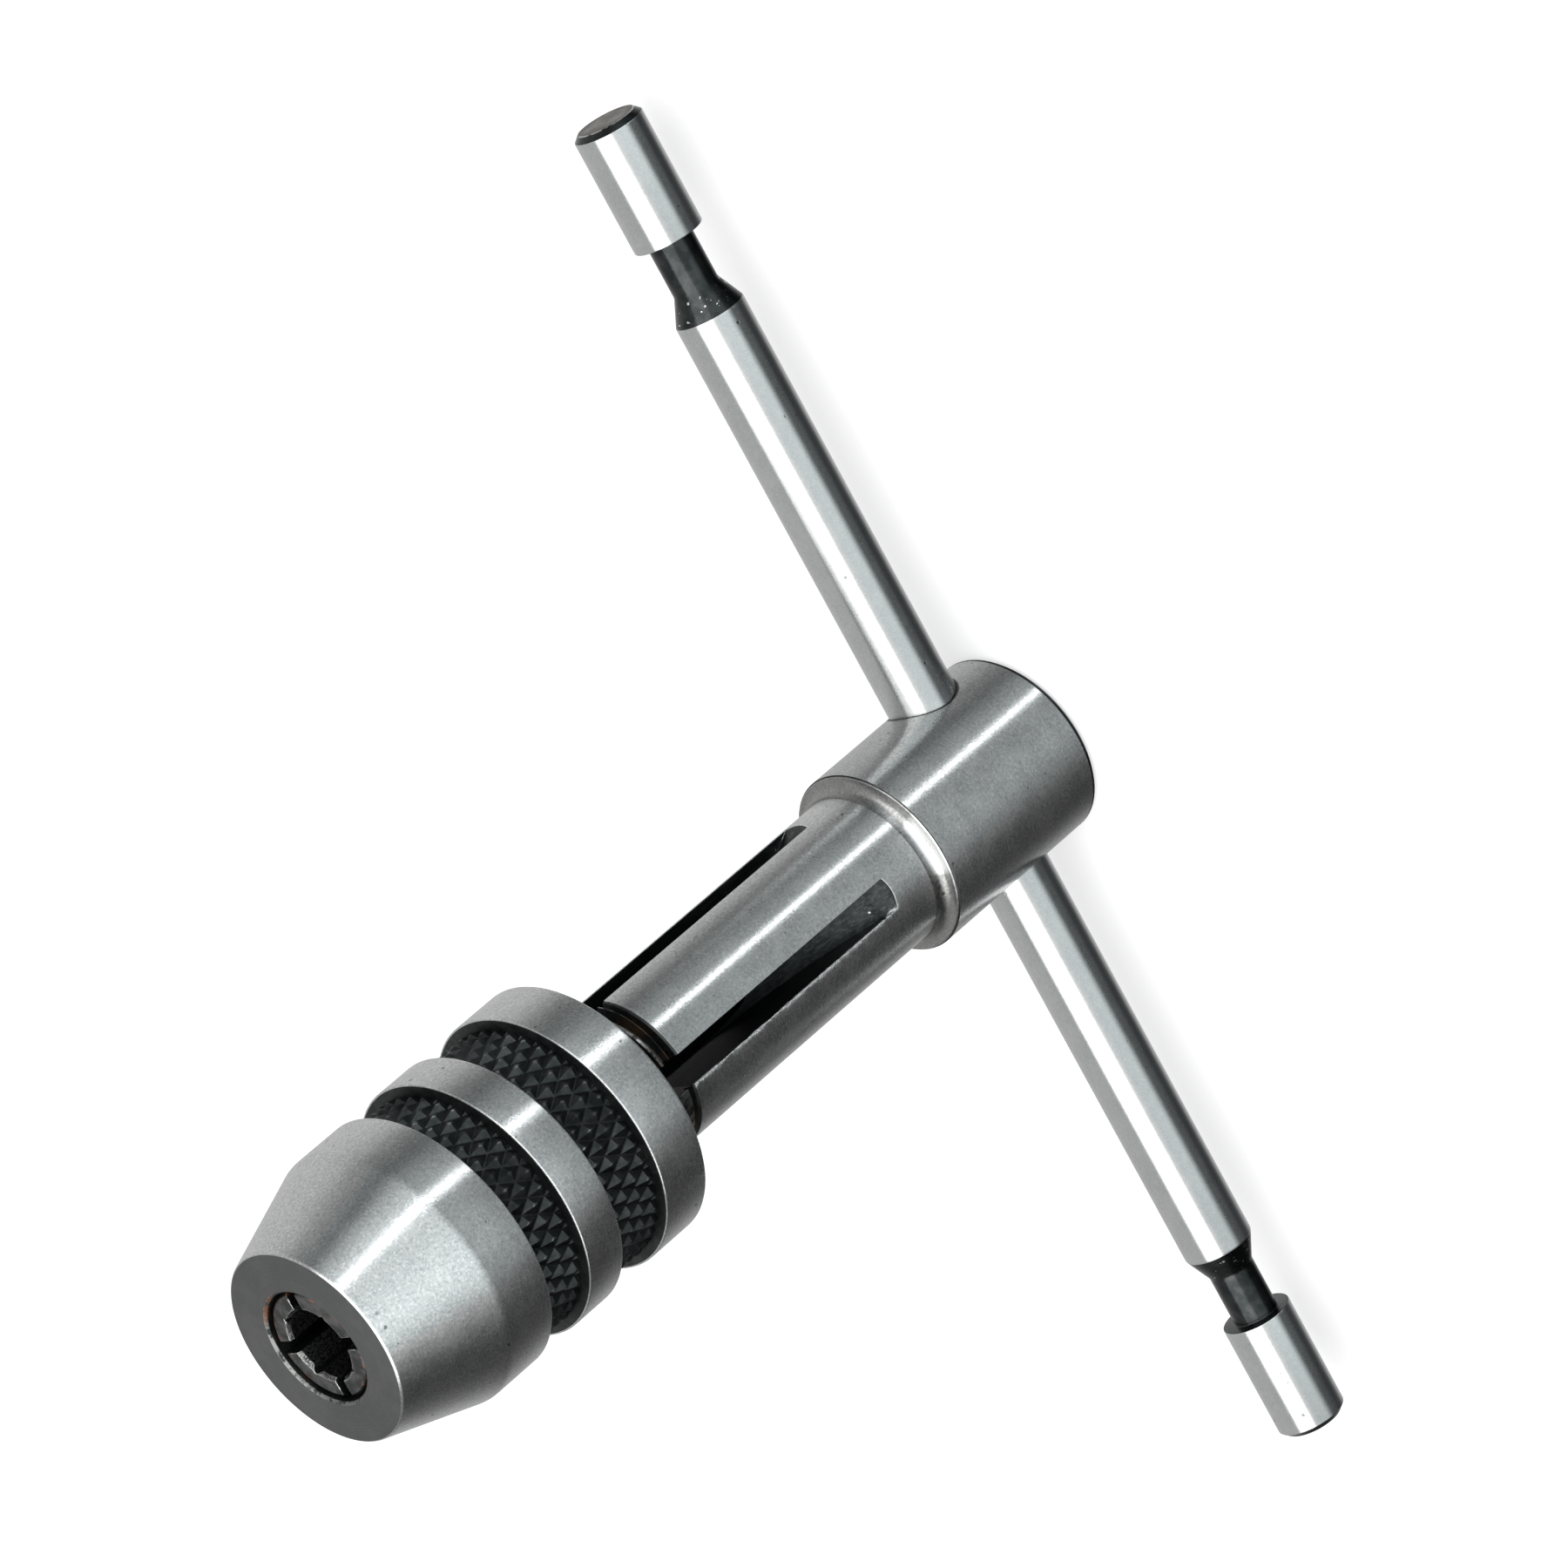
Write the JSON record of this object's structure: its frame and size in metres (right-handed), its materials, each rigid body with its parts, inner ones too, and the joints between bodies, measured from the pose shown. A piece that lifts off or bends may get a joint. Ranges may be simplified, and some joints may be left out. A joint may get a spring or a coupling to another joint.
{
  "type": "tap wrench",
  "caption": "T-handle tap wrench: sliding bar through a round head, slotted shank, and a knurled chuck sleeve with a cone nose that closes spring jaws.",
  "frame": {"origin": "centre of the flat end face of the head", "axes": "+Z along the chuck axis from the head towards the nose, X along the sliding bar"},
  "size_m": [0.124, 0.0232, 0.0855],
  "materials": {
    "ground_steel": "ground, oiled",
    "bar_steel": "ground, oiled",
    "black_oxide": "black oxide, satin",
    "spring_steel": "tempered, dark",
    "ball_steel": "polished"
  },
  "bodies": {
    "spindle": {"spindle_body": "ground_steel", "detent_spring": "spring_steel", "detent_screw": "black_oxide"},
    "t_bar": {"t_bar": "bar_steel"},
    "snap_ring": {"sleeve_snap_ring": "spring_steel"},
    "sleeve": {"chuck_sleeve": "ground_steel"},
    "detent": {"detent_ball": "ball_steel"},
    "jaw_1": {"spring_jaw_1": "black_oxide"},
    "jaw_2": {"spring_jaw_2": "black_oxide"},
    "jaw_3": {"spring_jaw_3": "black_oxide"},
    "jaw_4": {"spring_jaw_4": "black_oxide"}
  },
  "joints": [
    {"name": "bar_slide", "type": "slide", "parent": "spindle", "child": "t_bar", "axis": [1, 0, 0], "range_m": [-0.0498, 0.0498]},
    {"name": "sleeve_travel", "type": "slide", "parent": "spindle", "child": "snap_ring", "axis": [0, 0, 1], "range_m": [-0.0025, 0.00313]},
    {"name": "sleeve_turn", "type": "hinge", "parent": "snap_ring", "child": "sleeve", "pos_m": [0, 0, 0.07], "axis": [0, 0, 1], "range_deg": [-722, 902]},
    {"name": "detent_press", "type": "slide", "parent": "spindle", "child": "detent", "axis": [0, 0, 1], "range_m": [0, 0.0004], "stiffness_N_per_m": 8, "springref_m": -0.002, "deforming": ["detent_spring"]},
    {"name": "jaw_flex_1", "type": "hinge", "parent": "spindle", "child": "jaw_1", "pos_m": [0.00332, 0.00332, 0.06204], "axis": [-0.7071, 0.7071, 0], "range_deg": [-1.38, 1.72]},
    {"name": "jaw_flex_2", "type": "hinge", "parent": "spindle", "child": "jaw_2", "pos_m": [-0.00332, 0.00332, 0.06204], "axis": [-0.7071, -0.7071, 0], "range_deg": [-1.38, 1.72]},
    {"name": "jaw_flex_3", "type": "hinge", "parent": "spindle", "child": "jaw_3", "pos_m": [-0.00332, -0.00332, 0.06204], "axis": [0.7071, -0.7071, 0], "range_deg": [-1.38, 1.72]},
    {"name": "jaw_flex_4", "type": "hinge", "parent": "spindle", "child": "jaw_4", "pos_m": [0.00332, -0.00332, 0.06204], "axis": [0.7071, 0.7071, 0], "range_deg": [-1.38, 1.72]}
  ],
  "couplings": [
    {"joint": "sleeve_turn", "follows": "sleeve_travel", "rad_per_m": 5026.5},
    {"joint": "jaw_flex_1", "follows": "sleeve_travel", "rad_per_m": 9.5703},
    {"joint": "jaw_flex_2", "follows": "sleeve_travel", "rad_per_m": 9.5703},
    {"joint": "jaw_flex_3", "follows": "sleeve_travel", "rad_per_m": 9.5703},
    {"joint": "jaw_flex_4", "follows": "sleeve_travel", "rad_per_m": 9.5703}
  ]
}
